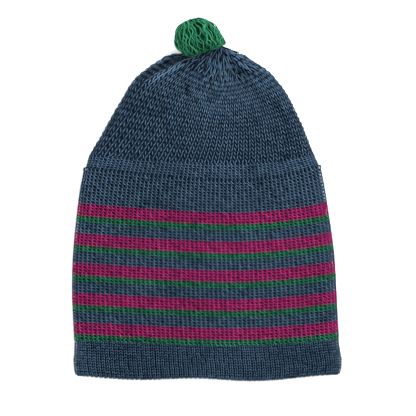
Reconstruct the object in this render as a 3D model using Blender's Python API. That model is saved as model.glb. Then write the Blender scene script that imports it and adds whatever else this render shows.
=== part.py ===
"""A knitted stretch beanie with a yarn pompom, lying flat on its back.

X runs across the hat, Y from the rim towards the pompom and Z up from the surface it lies on.
The knitted body is one long tube of courses. Each course is a closed loop, flat underneath, with
rounded side folds and a low dome on top. A course is bowed: its two ends lie further up the hat
than its middle, as the gathered crown pulls them. The loops are lofted into walls: a doubled wall
in the band, whose rim is the fold of the fabric, and a single wall in the crown.
Lengths are in metres. The tables hold shares of the named sizes.
"""

import math
from collections import namedtuple

import bmesh
import bpy
from mathutils import Vector

MM = 0.001

# Flat sizes of the hat
RIM_WIDTH = 200 * MM
SIDE_LOFT = 19 * MM
MIDDLE_LOFT = 30 * MM
BAND_WALL = 5.0 * MM
CROWN_WALL = 2.6 * MM
FOLD_STEP = 1.0 * MM
SEAT_GAP = 0.3 * MM

# Height of one knitted row, and how many rows each zone has
HEM_ROW = 1.875 * MM
BAND_ROW = 2.126 * MM
CROWN_ROW = 2.94 * MM
HEM_ROWS = 14
MAGENTA_ROWS = 4
GREEN_ROWS = 2
BLUE_ROWS = 4
STRIPE_PAIRS = 5
TOP_BLUE_ROWS = 11
YOKE_ROWS = 6
CROWN_ROWS = 29

STRIPE_ROWS = STRIPE_PAIRS * (MAGENTA_ROWS + GREEN_ROWS) + (STRIPE_PAIRS - 1) * BLUE_ROWS
HEM_LENGTH = HEM_ROWS * HEM_ROW
BAND_LENGTH = HEM_LENGTH + (STRIPE_ROWS + TOP_BLUE_ROWS) * BAND_ROW
CROWN_LENGTH = YOKE_ROWS * BAND_ROW + CROWN_ROWS * CROWN_ROW

# The pompom: a head of yarn loops, lying beside the gather that it is sewn to
POMPOM_WIDTH = 33 * MM
POMPOM_LENGTH = 30 * MM
POMPOM_HEIGHT = 31 * MM
POMPOM_LOCKS = 15
LOCK_DEPTH = 1.6 * MM
# Middle of the pompom from the gather, as shares of its own width and length
POMPOM_ASIDE = -0.64
POMPOM_BEYOND = 0.18
# Half the angle of the pompom's root, and of the tail that narrows down to it, from its middle
ROOT_TURN = math.radians(5)
TAIL_TURN = math.radians(20)
# The sideways wave of the locks: its reach, its waves from root to far side, and how far it is
# turned from one lock to the next
LOCK_SWAY = 0.10
LOCK_WAVES = 1.3
LOCK_SHIFT = 1.9

# Steps of the mesh round one course, and along the wall
TOP_STEPS = 20
SIDE_STEPS = 6
BOTTOM_STEPS = 10
RIM_STEPS = 5
ROW_STEP = 9 * MM
CROWN_STEP = 5.5 * MM
INNER_STEP = 7.5 * MM
POMPOM_RINGS = 13
LOCK_POINTS = 4

# A section of the hat. at: share of the zone's length, from the rim's side. left, middle, right:
# places across the hat, as shares of half RIM_WIDTH. left_rise, right_rise: how far the course's
# ends lie up the hat from its lowest point, as shares of RIM_WIDTH. side, dome: shares of SIDE_LOFT
# and of MIDDLE_LOFT less SIDE_LOFT. lift: the underside's height, as a share of SIDE_LOFT.
Section = namedtuple("Section", "at left middle right left_rise right_rise side dome lift")

BAND_SECTIONS = (
    Section(0.000, -0.985, 0.000, 0.990, 0.009, 0.015, 0.90, 0.72, 0.0),
    Section(0.050, -0.995, 0.000, 1.005, 0.014, 0.020, 0.94, 0.80, 0.0),
    Section(0.170, -0.990, -0.004, 0.982, 0.020, 0.024, 1.00, 0.90, 0.0),
    Section(0.400, -1.004, -0.020, 0.963, 0.025, 0.030, 1.00, 1.00, 0.0),
    Section(0.600, -0.996, -0.026, 0.944, 0.031, 0.035, 1.00, 1.00, 0.0),
    Section(0.830, -0.962, -0.030, 0.895, 0.036, 0.038, 1.00, 1.00, 0.0),
    Section(0.930, -0.938, -0.024, 0.868, 0.043, 0.048, 1.00, 1.00, 0.0),
    Section(1.000, -0.914, -0.018, 0.842, 0.050, 0.060, 0.98, 1.00, 0.0),
)
CROWN_SECTIONS = (
    Section(0.00, -0.914, -0.018, 0.842, 0.0500, 0.0600, 0.98, 1.00, 0.00),
    Section(0.13, -0.868, -0.004, 0.790, 0.0360, 0.0380, 0.95, 1.00, 0.00),
    Section(0.28, -0.755, 0.018, 0.722, 0.0520, 0.0360, 0.92, 0.98, 0.00),
    Section(0.42, -0.635, 0.036, 0.650, 0.0830, 0.0470, 0.88, 0.90, 0.00),
    Section(0.56, -0.505, 0.055, 0.560, 0.1100, 0.0610, 0.80, 0.78, 0.00),
    Section(0.70, -0.345, 0.080, 0.440, 0.1080, 0.0690, 0.62, 0.58, 0.00),
    Section(0.76, -0.255, 0.092, 0.385, 0.0970, 0.0620, 0.54, 0.47, 0.00),
    Section(0.82, -0.170, 0.105, 0.320, 0.0640, 0.0500, 0.46, 0.36, 0.00),
    Section(0.92, -0.005, 0.125, 0.225, 0.0100, 0.0270, 0.38, 0.16, 0.01),
    Section(0.96, 0.080, 0.132, 0.200, 0.0000, 0.0120, 0.34, 0.08, 0.04),
    Section(1.00, 0.103, 0.135, 0.168, 0.0000, 0.0000, 0.32, 0.00, 0.09),
)

# Folds of the crown's upper side. Each runs from one place to another, given by at and by the share
# across the course from its left end, -1, to its right end, 1. height: a share of SIDE_LOFT, raised
# where it is positive. spread: half the fold's width, as a share of half the course.
Fold = namedtuple("Fold", "from_at from_across to_at to_across height spread")
FOLDS = (
    Fold(0.93, 0.20, 0.40, 0.86, -0.20, 0.13),
    Fold(0.84, 0.12, 0.26, 0.72, 0.10, 0.12),
    Fold(0.92, -0.45, 0.45, -0.32, -0.13, 0.09),
    Fold(0.95, -0.62, 0.50, -0.93, 0.15, 0.12),
    Fold(0.60, 0.14, 0.50, 0.22, -0.09, 0.12),
)
FOLD_FADE = 0.10

# Pleats that the gather draws round the top of the crown
PLEATS = 11
PLEAT_DEPTH = 0.9 * MM
PLEATS_FROM = 0.62

# Where the lowest point of a course is across it, and how its two sides climb from there
LOW_POINT = 0.2
LEFT_CURVE = 1.4
RIGHT_CURVE = 2.0

# The slow wave of the rim, which fades out within the hem
WAVE_HEIGHT = 1.0 * MM
WAVE_LENGTH = 0.95
WAVE_LOW = -0.56
WAVE_REACH = 0.12

# The hollow in the crown ends where less than this height would be left between its walls at the
# side folds. Its end is looked for in steps, as a share of the crown's length.
HOLLOW_LOW = 2.2 * MM
HOLLOW_SEARCH = 0.01

# The thickest that a narrow course may be, as a share of half its width
THICKEST = 1.9

COLOURS = {
    "slate_blue": (0.032, 0.062, 0.105, 1.0),
    "magenta": (0.330, 0.020, 0.115, 1.0),
    "green": (0.016, 0.150, 0.068, 1.0),
    "pompom_green": (0.020, 0.205, 0.085, 1.0),
}
YARN_ROUGHNESS = 0.85
SHARP_ANGLE = math.radians(50)


def clear_scene():
    for item in list(bpy.data.objects):
        bpy.data.objects.remove(item, do_unlink=True)


def yarn_material(name):
    """The matt finish of one colour of yarn."""
    material = bpy.data.materials.get(name)
    if material:
        return material
    material = bpy.data.materials.new(name)
    material.use_nodes = True
    shader = material.node_tree.nodes["Principled BSDF"]
    shader.inputs["Base Color"].default_value = COLOURS[name]
    shader.inputs["Roughness"].default_value = YARN_ROUGHNESS
    shader.inputs["Metallic"].default_value = 0.0
    return material


def add_object(name, bm, material_name):
    """Turn a bmesh into an object with outward faces, smooth shading and its yarn."""
    bmesh.ops.recalc_face_normals(bm, faces=bm.faces)
    mesh = bpy.data.meshes.new(name)
    bm.to_mesh(mesh)
    bm.free()
    mesh.shade_smooth()
    mesh.set_sharp_from_angle(angle=SHARP_ANGLE)
    mesh.materials.append(yarn_material(material_name))
    item = bpy.data.objects.new(name, mesh)
    bpy.context.scene.collection.objects.link(item)
    return item


def slope(table, index, column):
    """The slope of one column at one row, from the rows beside it."""
    before = table[max(index - 1, 0)]
    after = table[min(index + 1, len(table) - 1)]
    return (after[column] - before[column]) / (after.at - before.at)


def section_at(table, at):
    """The table's section at a share of its length, on a smooth curve through its rows."""
    at = min(max(at, 0.0), 1.0)
    index = 0
    while index < len(table) - 2 and table[index + 1].at < at:
        index += 1
    low, high = table[index], table[index + 1]
    span = high.at - low.at
    u = (at - low.at) / span
    values = [at]
    for column in range(1, len(low)):
        start = low[column] * (1 + 2 * u) * (1 - u) ** 2
        end = high[column] * u * u * (3 - 2 * u)
        leaving = slope(table, index, column) * span * u * (1 - u) ** 2
        coming = slope(table, index + 1, column) * span * u * u * (u - 1)
        values.append(start + end + leaving + coming)
    return Section(*values)


def course_rise(section, across, low_point):
    """How far a point of a course lies up the hat from the course's lowest point."""
    if across < low_point:
        share = (low_point - across) / (1 + low_point)
        return section.left_rise * RIM_WIDTH * share**LEFT_CURVE
    share = (across - low_point) / (1 - low_point)
    return section.right_rise * RIM_WIDTH * share**RIGHT_CURVE


def fade(distance):
    """Fade from 0 to 1 over FOLD_FADE, halfway where the distance is 0."""
    return min(max(distance / FOLD_FADE + 0.5, 0.0), 1.0)


def fold_height(at, across):
    """Height of the crown's folds at a place on its upper side."""
    height = 0.0
    for fold in FOLDS:
        along = (fold.from_at - at) / (fold.from_at - fold.to_at)
        middle = fold.from_across + (fold.to_across - fold.from_across) * along
        bell = math.exp(-(((across - middle) / fold.spread) ** 2))
        ends = fade(fold.from_at - at) * fade(at - fold.to_at)
        height += fold.height * SIDE_LOFT * bell * ends
    return height


def loop_places():
    """Where the mesh's points lie round a course: (run, share) pairs, from the top's right end."""
    places = [("top", step / TOP_STEPS) for step in range(TOP_STEPS)]
    places += [("left", step / SIDE_STEPS) for step in range(SIDE_STEPS)]
    places += [("bottom", step / BOTTOM_STEPS) for step in range(BOTTOM_STEPS)]
    places += [("right", step / SIDE_STEPS) for step in range(SIDE_STEPS)]
    return places


def flat_place(run, share, flat, radius):
    """Place in the course's own cross section, from its middle: sideways, up from mid height,
    the outward direction and how much of the top's folds reaches this place."""
    if run == "top":
        return flat * (1 - 2 * share), radius, (0.0, 1.0), 1.0
    if run == "bottom":
        return flat * (2 * share - 1), -radius, (0.0, -1.0), 0.0
    turn = math.pi * share
    if run == "left":
        outward = (-math.sin(turn), math.cos(turn))
        reach = (1 + math.cos(turn)) / 2
        return -flat + radius * outward[0], radius * outward[1], outward, reach
    outward = (math.sin(turn), -math.cos(turn))
    reach = (1 - math.cos(turn)) / 2
    return flat + radius * outward[0], radius * outward[1], outward, reach


def course_loop(zone, along, inset):
    """The points of one course. along: distance from the rim's side of its zone. inset: how far
    the loop lies inside the outer face."""
    in_crown = zone == "crown"
    length = CROWN_LENGTH if in_crown else BAND_LENGTH
    table = CROWN_SECTIONS if in_crown else BAND_SECTIONS
    at = along / length
    section = section_at(table, at)
    half_rim = RIM_WIDTH / 2
    half = (section.right - section.left) / 2 * half_rim
    centre = (section.right + section.left) / 2 * half_rim
    side = min(section.side * SIDE_LOFT, THICKEST * half)
    radius = side / 2
    flat = half - radius
    dome = section.dome * (MIDDLE_LOFT - SIDE_LOFT)
    lift = max(section.lift, 0.0) * SIDE_LOFT
    low_point = LOW_POINT * (1 - at) if in_crown else LOW_POINT
    start = BAND_LENGTH if in_crown else 0.0
    pleat = PLEAT_DEPTH * max(at - PLEATS_FROM, 0.0) / (1 - PLEATS_FROM) if in_crown else 0.0
    points = []
    places = loop_places()
    for number, (run, share) in enumerate(places):
        sideways, up, outward, reach = flat_place(run, share, flat, radius)
        across = sideways / half
        push = -inset
        if in_crown:
            push += fold_height(at, across) * reach
            push -= pleat * (0.5 - 0.5 * math.cos(PLEATS * math.tau * number / len(places)))
        sideways += outward[0] * push
        up += outward[1] * push
        across = max(min(sideways / half, 1.0), -1.0)
        if run == "top":
            spread = sideways / flat
            up += dome * (1 - spread * spread) ** 2
        bow = section.middle * half_rim - centre
        x = centre + sideways + bow * (1 - across * across)
        y = start + along + course_rise(section, across, low_point)
        if not in_crown:
            wave = WAVE_HEIGHT * math.cos(math.tau * (across - WAVE_LOW) / WAVE_LENGTH)
            y -= wave * max(1 - at / WAVE_REACH, 0.0)
        points.append(Vector((x, y, up + radius + lift)))
    return points


def add_loop(bm, points):
    return [bm.verts.new(point) for point in points]


def bridge(bm, first, second):
    """Join two loops of equal length with a band of faces."""
    count = len(first)
    for index in range(count):
        after = (index + 1) % count
        bm.faces.new((first[index], first[after], second[after], second[index]))


def cap(bm, loop):
    """Close a loop with triangles that meet in its middle."""
    middle = sum((vert.co for vert in loop), Vector()) / len(loop)
    centre = bm.verts.new(middle)
    for index, vert in enumerate(loop):
        bm.faces.new((vert, loop[(index + 1) % len(loop)], centre))


def stations(start, end, step):
    """Distances from start to end, both included, no further apart than a step."""
    count = max(1, math.ceil(abs(end - start) / step))
    return [start + (end - start) * index / count for index in range(count + 1)]


def make_ring(name, start, end, yarn, rounded_rim=False):
    """A ring of the doubled band between two distances from the rim."""
    bottom = start if rounded_rim else start + SEAT_GAP / 2
    path = []
    if rounded_rim:
        half_wall = BAND_WALL / 2
        for step in range(1, RIM_STEPS):
            turn = math.pi * step / RIM_STEPS
            path.append((half_wall * (1 - math.sin(turn)), half_wall * (1 + math.cos(turn))))
        bottom = half_wall
    outer = stations(bottom, end - SEAT_GAP / 2, ROW_STEP)
    path += [(along, 0.0) for along in outer]
    path += [(along, BAND_WALL) for along in reversed(outer)]
    bm = bmesh.new()
    loops = [add_loop(bm, course_loop("band", along, inset)) for along, inset in path]
    for index, loop in enumerate(loops):
        bridge(bm, loop, loops[(index + 1) % len(loops)])
    return add_object(name, bm, yarn)


def make_band():
    """The hem and the striped rings above it, in knitted order from the rim up."""
    parts = [make_ring("hem", 0.0, HEM_LENGTH, "slate_blue", rounded_rim=True)]
    along = HEM_LENGTH
    for pair in range(STRIPE_PAIRS, 0, -1):
        stripes = [("green_stripe_%d" % pair, GREEN_ROWS, "green")]
        stripes.append(("magenta_stripe_%d" % pair, MAGENTA_ROWS, "magenta"))
        if pair > 1:
            stripes.append(("blue_stripe_%d" % (pair - 1), BLUE_ROWS, "slate_blue"))
        for name, rows, yarn in stripes:
            parts.append(make_ring(name, along, along + rows * BAND_ROW, yarn))
            along += rows * BAND_ROW
    parts.append(make_ring("band_top", along, BAND_LENGTH, "slate_blue"))
    return parts


def hollow_end():
    """How far up the crown its hollow reaches."""
    at = 1.0
    while at > 0 and section_at(CROWN_SECTIONS, at).side * SIDE_LOFT < 2 * CROWN_WALL + HOLLOW_LOW:
        at -= HOLLOW_SEARCH
    return at * CROWN_LENGTH


def make_crown():
    """The single wall above the band, drawn in to the gather and closed there."""
    seat = SEAT_GAP / 2
    inner = stations(hollow_end(), seat, INNER_STEP)
    outer = stations(seat, CROWN_LENGTH, CROWN_STEP)
    step_reach = YOKE_ROWS * BAND_ROW
    bm = bmesh.new()
    loops = []
    path = [(along, CROWN_WALL) for along in inner] + [(along, 0.0) for along in outer]
    for along, inset in path:
        step = FOLD_STEP * max(1 - along / step_reach, 0.0)
        loops.append(add_loop(bm, course_loop("crown", along, inset + step)))
    for first, second in zip(loops, loops[1:]):
        bridge(bm, first, second)
    cap(bm, loops[0])
    cap(bm, loops[-1])
    return add_object("crown", bm, "slate_blue")


def gather_centre():
    """The middle of the crown's closed top."""
    points = course_loop("crown", CROWN_LENGTH, 0.0)
    return sum(points, Vector()) / len(points)


def make_pompom():
    """The pompom: an egg-shaped head whose yarn loops are fused into wavy locks. The locks run from
    the root, on the gather, over the head to its far side."""
    gather = gather_centre()
    aside = Vector((POMPOM_ASIDE * POMPOM_WIDTH, POMPOM_BEYOND * POMPOM_LENGTH, 0.0))
    aside.z = POMPOM_HEIGHT / 2 + SEAT_GAP - gather.z
    to_root = -aside
    pole = to_root.normalized()
    root_radius = to_root.length * math.tan(ROOT_TURN)
    root_reach = SEAT_GAP + root_radius * math.sqrt(1 - pole.y * pole.y)
    middle = gather + Vector((0.0, root_reach, 0.0)) + aside
    level = pole.cross(Vector((0.0, 0.0, 1.0))).normalized()
    upright = level.cross(pole)
    half = Vector((POMPOM_WIDTH / 2, POMPOM_LENGTH / 2, POMPOM_HEIGHT / 2))
    around = POMPOM_LOCKS * LOCK_POINTS
    bm = bmesh.new()
    loops = []
    for ring in range(1, POMPOM_RINGS):
        tilt = ROOT_TURN + (math.pi - ROOT_TURN) * ring / POMPOM_RINGS
        if ring == 1:
            tilt = ROOT_TURN
        points = []
        for number in range(around):
            phase = math.tau * number / LOCK_POINTS
            lock = number // LOCK_POINTS
            sway = LOCK_SWAY * math.sin(2 * LOCK_WAVES * tilt + LOCK_SHIFT * lock)
            turn = math.tau * number / around + sway * math.sin(tilt)
            sideways = level * math.cos(turn) + upright * math.sin(turn)
            heading = pole * math.cos(tilt) + sideways * math.sin(tilt)
            reach = 1 / Vector((heading.x / half.x, heading.y / half.y, heading.z / half.z)).length
            groove = LOCK_DEPTH * (0.5 + 0.5 * math.cos(phase)) * math.sin(tilt)
            tail = (to_root.length - reach) * math.exp(-((tilt / TAIL_TURN) ** 2))
            points.append(middle + heading * (reach - groove + tail))
        loops.append(add_loop(bm, points))
    for first, second in zip(loops, loops[1:]):
        bridge(bm, first, second)
    cap(bm, loops[0])
    cap(bm, loops[-1])
    return add_object("pompom", bm, "pompom_green")


def stand_on_origin(parts):
    """Move the whole hat so that the origin is below its middle, on the surface it lies on."""
    points = [vert.co for part in parts for vert in part.data.vertices]
    low = Vector([min(point[axis] for point in points) for axis in range(3)])
    high = Vector([max(point[axis] for point in points) for axis in range(3)])
    shift = Vector(((low.x + high.x) / 2, (low.y + high.y) / 2, low.z))
    for part in parts:
        for vert in part.data.vertices:
            vert.co -= shift


def main():
    clear_scene()
    parts = make_band()
    parts.append(make_crown())
    parts.append(make_pompom())
    stand_on_origin(parts)


main()
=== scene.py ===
# %% [markdown]
# # A striped knitted hat, stitch by stitch
#
# The real object is a machine-knitted hat. It is one long tube of loops: its lower part is folded
# double into a striped band, and its top is drawn together under a pompom of yarn. The measured
# solid model is the fixed frame of this lesson, and real loops of yarn are laid over it, row by
# row. A bump texture could fake the rows, but the outline would stay smooth and the gaps would
# stay closed, so the loops are built as meshes.

import math
from collections import namedtuple

import bpy
import numpy as np
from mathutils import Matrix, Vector


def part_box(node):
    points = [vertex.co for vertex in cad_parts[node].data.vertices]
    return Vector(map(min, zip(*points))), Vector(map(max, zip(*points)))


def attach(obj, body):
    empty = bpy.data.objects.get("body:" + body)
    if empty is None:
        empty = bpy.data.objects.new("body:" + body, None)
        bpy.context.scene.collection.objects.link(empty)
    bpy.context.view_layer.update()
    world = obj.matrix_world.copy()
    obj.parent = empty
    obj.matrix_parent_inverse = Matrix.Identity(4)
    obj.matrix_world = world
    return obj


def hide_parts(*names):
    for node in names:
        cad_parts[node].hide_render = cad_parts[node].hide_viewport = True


MM = 0.001
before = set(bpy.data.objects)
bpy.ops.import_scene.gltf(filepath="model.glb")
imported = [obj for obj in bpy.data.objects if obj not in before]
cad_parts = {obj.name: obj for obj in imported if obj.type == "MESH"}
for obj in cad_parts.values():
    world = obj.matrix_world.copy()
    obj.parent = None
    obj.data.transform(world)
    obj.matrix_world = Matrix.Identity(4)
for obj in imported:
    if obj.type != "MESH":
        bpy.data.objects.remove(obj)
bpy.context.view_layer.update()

# %% [markdown]
# ## The camera
#
# The hat was photographed from straight above, so the camera looks straight down. A long lens far
# away keeps the outline free of perspective, as a scanner or a copy stand would. Its height sets
# how much of the floor the square picture covers.

# %% Place the camera
CAMERA_SPOT = (0.7 * MM, -6.0 * MM, 2583 * MM)
LENS = 300
SENSOR = 36
SEEN_TO = 20
HAT_LEVEL = 10 * MM


def add_object(name, data):
    """A new object in the scene, from its camera, lamp or mesh."""
    item = bpy.data.objects.new(name, data)
    bpy.context.scene.collection.objects.link(item)
    return item


camera_data = bpy.data.cameras.new("camera")
camera_data.lens = LENS
camera_data.sensor_width = SENSOR
camera_data.clip_end = SEEN_TO
camera = add_object("camera", camera_data)
camera.location = CAMERA_SPOT
bpy.context.scene.camera = camera
picture_width = SENSOR / LENS * (CAMERA_SPOT[2] - HAT_LEVEL)
print("the picture is", round(picture_width, 4), "m wide at the hat")

# %% [markdown]
# ## Floor and light
#
# A plain white floor and an even white sky stand in for a light tent. They leave almost no shadow,
# as on a catalogue picture. One large soft lamp at the upper right gives the stitches their relief.
# The Standard view keeps the colours of the yarn as they are and lets the floor reach pure white.

# %% Build the floor and the light
FLOOR_REACH = 6.0
FLOOR_GAP = 0.1 * MM
FLOOR_WHITE = 0.93
FLOOR_ROUGHNESS = 0.9
SKY_STRENGTH = 1.9
LAMP_SPOT = (0.75, 0.85, 1.15)
LAMP_SIZE = 0.6
LAMP_POWER = 24
bpy.context.scene.view_settings.view_transform = "Standard"

floor_mesh = bpy.data.meshes.new("floor")
corners = [(-1, -1), (1, -1), (1, 1), (-1, 1)]
floor_points = [(x * FLOOR_REACH, y * FLOOR_REACH, -FLOOR_GAP) for x, y in corners]
floor_mesh.from_pydata(floor_points, [], [(0, 1, 2, 3)])
floor = add_object("floor", floor_mesh)

floor_paint = bpy.data.materials.new("white_floor")
floor_paint.use_nodes = True
floor_shader = floor_paint.node_tree.nodes["Principled BSDF"]
floor_shader.inputs["Base Color"].default_value = (FLOOR_WHITE, FLOOR_WHITE, FLOOR_WHITE, 1)
floor_shader.inputs["Roughness"].default_value = FLOOR_ROUGHNESS
floor_mesh.materials.append(floor_paint)

sky = bpy.data.worlds.new("light_tent")
sky.use_nodes = True
sky.node_tree.nodes["Background"].inputs["Color"].default_value = (1.0, 1.0, 1.0, 1)
sky.node_tree.nodes["Background"].inputs["Strength"].default_value = SKY_STRENGTH
bpy.context.scene.world = sky

lamp_data = bpy.data.lights.new("soft_lamp", "AREA")
lamp_data.size = LAMP_SIZE
lamp_data.energy = LAMP_POWER
lamp = add_object("soft_lamp", lamp_data)
lamp.location = LAMP_SPOT
lamp.rotation_mode = "QUATERNION"
lamp.rotation_quaternion = (-Vector(lamp.location)).to_track_quat("-Z", "Y")
print("sky strength", SKY_STRENGTH, "and lamp power", LAMP_POWER, "W")

# %% [markdown]
# ## The measures of the hat
#
# The hat's form is a stack of courses. A course is one round of knitting: flat underneath, rounded
# at the two side folds and a low dome on top. The tables give the courses' width, height and bow
# from the rim to the gather, as shares of the hat's main sizes. They repeat the solid model's own
# values, so that every row of yarn lies exactly on it.

# %% Give the hat's sizes and tables
RIM_WIDTH = 200 * MM
SIDE_LOFT = 19 * MM
MIDDLE_LOFT = 30 * MM
BAND_WALL = 5.0 * MM
FOLD_STEP = 1.0 * MM
SEAT_GAP = 0.3 * MM
HEM_ROW = 1.875 * MM
BAND_ROW = 2.126 * MM
CROWN_ROW = 2.94 * MM
HEM_ROWS = 14
MAGENTA_ROWS = 4
GREEN_ROWS = 2
BLUE_ROWS = 4
STRIPE_PAIRS = 5
TOP_BLUE_ROWS = 11
YOKE_ROWS = 6
CROWN_ROWS = 29
STRIPE_ROWS = STRIPE_PAIRS * (MAGENTA_ROWS + GREEN_ROWS) + (STRIPE_PAIRS - 1) * BLUE_ROWS
HEM_LENGTH = HEM_ROWS * HEM_ROW
BAND_LENGTH = HEM_LENGTH + (STRIPE_ROWS + TOP_BLUE_ROWS) * BAND_ROW
YOKE_LENGTH = YOKE_ROWS * BAND_ROW
CROWN_LENGTH = YOKE_LENGTH + CROWN_ROWS * CROWN_ROW
THICKEST = 1.9

# Columns: at (share of the zone's length), left, middle and right (shares of half the rim), left
# rise and right rise (shares of the rim), side and dome (shares of the lofts), lift off the floor
BAND_SECTIONS = np.array([
    (0.000, -0.985, 0.000, 0.990, 0.009, 0.015, 0.90, 0.72, 0.0),
    (0.050, -0.995, 0.000, 1.005, 0.014, 0.020, 0.94, 0.80, 0.0),
    (0.170, -0.990, -0.004, 0.982, 0.020, 0.024, 1.00, 0.90, 0.0),
    (0.400, -1.004, -0.020, 0.963, 0.025, 0.030, 1.00, 1.00, 0.0),
    (0.600, -0.996, -0.026, 0.944, 0.031, 0.035, 1.00, 1.00, 0.0),
    (0.830, -0.962, -0.030, 0.895, 0.036, 0.038, 1.00, 1.00, 0.0),
    (0.930, -0.938, -0.024, 0.868, 0.043, 0.048, 1.00, 1.00, 0.0),
    (1.000, -0.914, -0.018, 0.842, 0.050, 0.060, 0.98, 1.00, 0.0),
])
CROWN_SECTIONS = np.array([
    (0.00, -0.914, -0.018, 0.842, 0.0500, 0.0600, 0.98, 1.00, 0.00),
    (0.13, -0.868, -0.004, 0.790, 0.0360, 0.0380, 0.95, 1.00, 0.00),
    (0.28, -0.755, 0.018, 0.722, 0.0520, 0.0360, 0.92, 0.98, 0.00),
    (0.42, -0.635, 0.036, 0.650, 0.0830, 0.0470, 0.88, 0.90, 0.00),
    (0.56, -0.505, 0.055, 0.560, 0.1100, 0.0610, 0.80, 0.78, 0.00),
    (0.70, -0.345, 0.080, 0.440, 0.1080, 0.0690, 0.62, 0.58, 0.00),
    (0.76, -0.255, 0.092, 0.385, 0.0970, 0.0620, 0.54, 0.47, 0.00),
    (0.82, -0.170, 0.105, 0.320, 0.0640, 0.0500, 0.46, 0.36, 0.00),
    (0.92, -0.005, 0.125, 0.225, 0.0100, 0.0270, 0.38, 0.16, 0.01),
    (0.96, 0.080, 0.132, 0.200, 0.0000, 0.0120, 0.34, 0.08, 0.04),
    (1.00, 0.103, 0.135, 0.168, 0.0000, 0.0000, 0.32, 0.00, 0.09),
])
# Folds of the crown: from at, from across, to at, to across, height, spread
FOLDS = (
    (0.93, 0.20, 0.40, 0.86, -0.20, 0.13),
    (0.84, 0.12, 0.26, 0.72, 0.10, 0.12),
    (0.92, -0.45, 0.45, -0.32, -0.13, 0.09),
    (0.95, -0.62, 0.50, -0.93, 0.15, 0.12),
    (0.60, 0.14, 0.50, 0.22, -0.09, 0.12),
)
FOLD_FADE = 0.10
PLEATS = 11
PLEAT_DEPTH = 0.9 * MM
PLEATS_FROM = 0.62
LOW_POINT = 0.2
LEFT_CURVE = 1.4
RIGHT_CURVE = 2.0
WAVE_HEIGHT = 1.0 * MM
WAVE_LENGTH = 0.95
WAVE_LOW = -0.56
WAVE_REACH = 0.12
print("band and crown, mm:", round(BAND_LENGTH / MM, 1), round(CROWN_LENGTH / MM, 1))

# %% [markdown]
# ## A smooth curve through the tables
#
# A course may lie anywhere between two rows of a table. A straight line between them would leave a
# kink at each row, so a cubic curve is used that keeps the same slope on both sides of a row. Numpy
# works out a whole array of courses at once, which is far faster than a loop.


# %% Read a table at any place
def read_table(table, at):
    """The table's columns at the places in the array at, on a smooth curve through its rows."""
    at = np.clip(at, 0.0, 1.0)
    knots = table[:, 0]
    count = len(knots)
    before = np.maximum(np.arange(count) - 1, 0)
    after = np.minimum(np.arange(count) + 1, count - 1)
    slopes = (table[after] - table[before]) / (knots[after] - knots[before])[:, None]
    low = np.clip(np.searchsorted(knots, at, side="left") - 1, 0, count - 2)
    span = (knots[low + 1] - knots[low])[..., None]
    u = (at - knots[low])[..., None] / span
    start = table[low] * (1 + 2 * u) * (1 - u) ** 2
    end = table[low + 1] * u * u * (3 - 2 * u)
    leaving = slopes[low] * span * u * (1 - u) ** 2
    coming = slopes[low + 1] * span * u * u * (u - 1)
    return np.moveaxis(start + end + leaving + coming, -1, 0)


def ease(value):
    """From 0 to 1 with soft ends, as the value goes from 0 to 1."""
    value = np.clip(value, 0.0, 1.0)
    return value * value * (3 - 2 * value)


def unit(vectors):
    """The same directions with length 1."""
    return vectors / np.maximum(np.linalg.norm(vectors, axis=-1, keepdims=True), 1e-12)


band_middle = read_table(BAND_SECTIONS, np.array(0.5))
print("the band's right edge at its middle, of half the rim:", round(float(band_middle[3]), 3))

# %% [markdown]
# ## The hat's surface
#
# Every stitch needs to know where it lies. This function takes how far along the hat it is, how
# far round the course, and how deep under the outer face, and gives a point in space. It follows
# the same steps as the solid model: a flat oval, the dome, the folds of the crown, the pleats of
# the gather, and last the bow that lifts both ends of each course.


# %% Find a point of the hat
def folds_at(at, across):
    """Height of the crown's folds at a place on its upper side."""
    height = np.zeros_like(across)
    for from_at, from_across, to_at, to_across, rise, spread in FOLDS:
        along = (from_at - at) / (from_at - to_at)
        middle = from_across + (to_across - from_across) * along
        bell = np.exp(-(((across - middle) / spread) ** 2))
        fade_in = np.clip((from_at - at) / FOLD_FADE + 0.5, 0.0, 1.0)
        fade_out = np.clip((at - to_at) / FOLD_FADE + 0.5, 0.0, 1.0)
        height += rise * SIDE_LOFT * bell * fade_in * fade_out
    return height


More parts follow.
